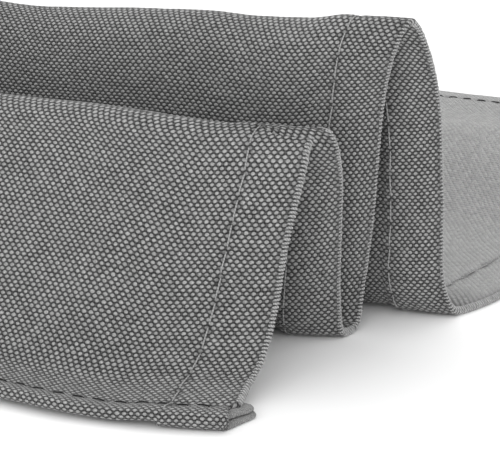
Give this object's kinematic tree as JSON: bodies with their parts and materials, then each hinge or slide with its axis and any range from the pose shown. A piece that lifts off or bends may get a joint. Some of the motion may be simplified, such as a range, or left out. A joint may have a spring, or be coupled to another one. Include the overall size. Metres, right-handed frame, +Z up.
{
  "type": "folded tablecloth",
  "caption": "Hemmed grey plain-weave tablecloth standing in tent folds at the front and lying flat behind them over a low wave.",
  "frame": {"origin": "centre of the footprint, on the surface the cloth rests on", "axes": "+X along the folds towards the open hemmed end, +Y from the front hem to the back hem, +Z up"},
  "size_m": [0.3268, 0.1976, 0.0552],
  "materials": {
    "cloth": "matte plain weave"
  },
  "bodies": {
    "root": {"cloth": "cloth"}
  },
  "joints": []
}
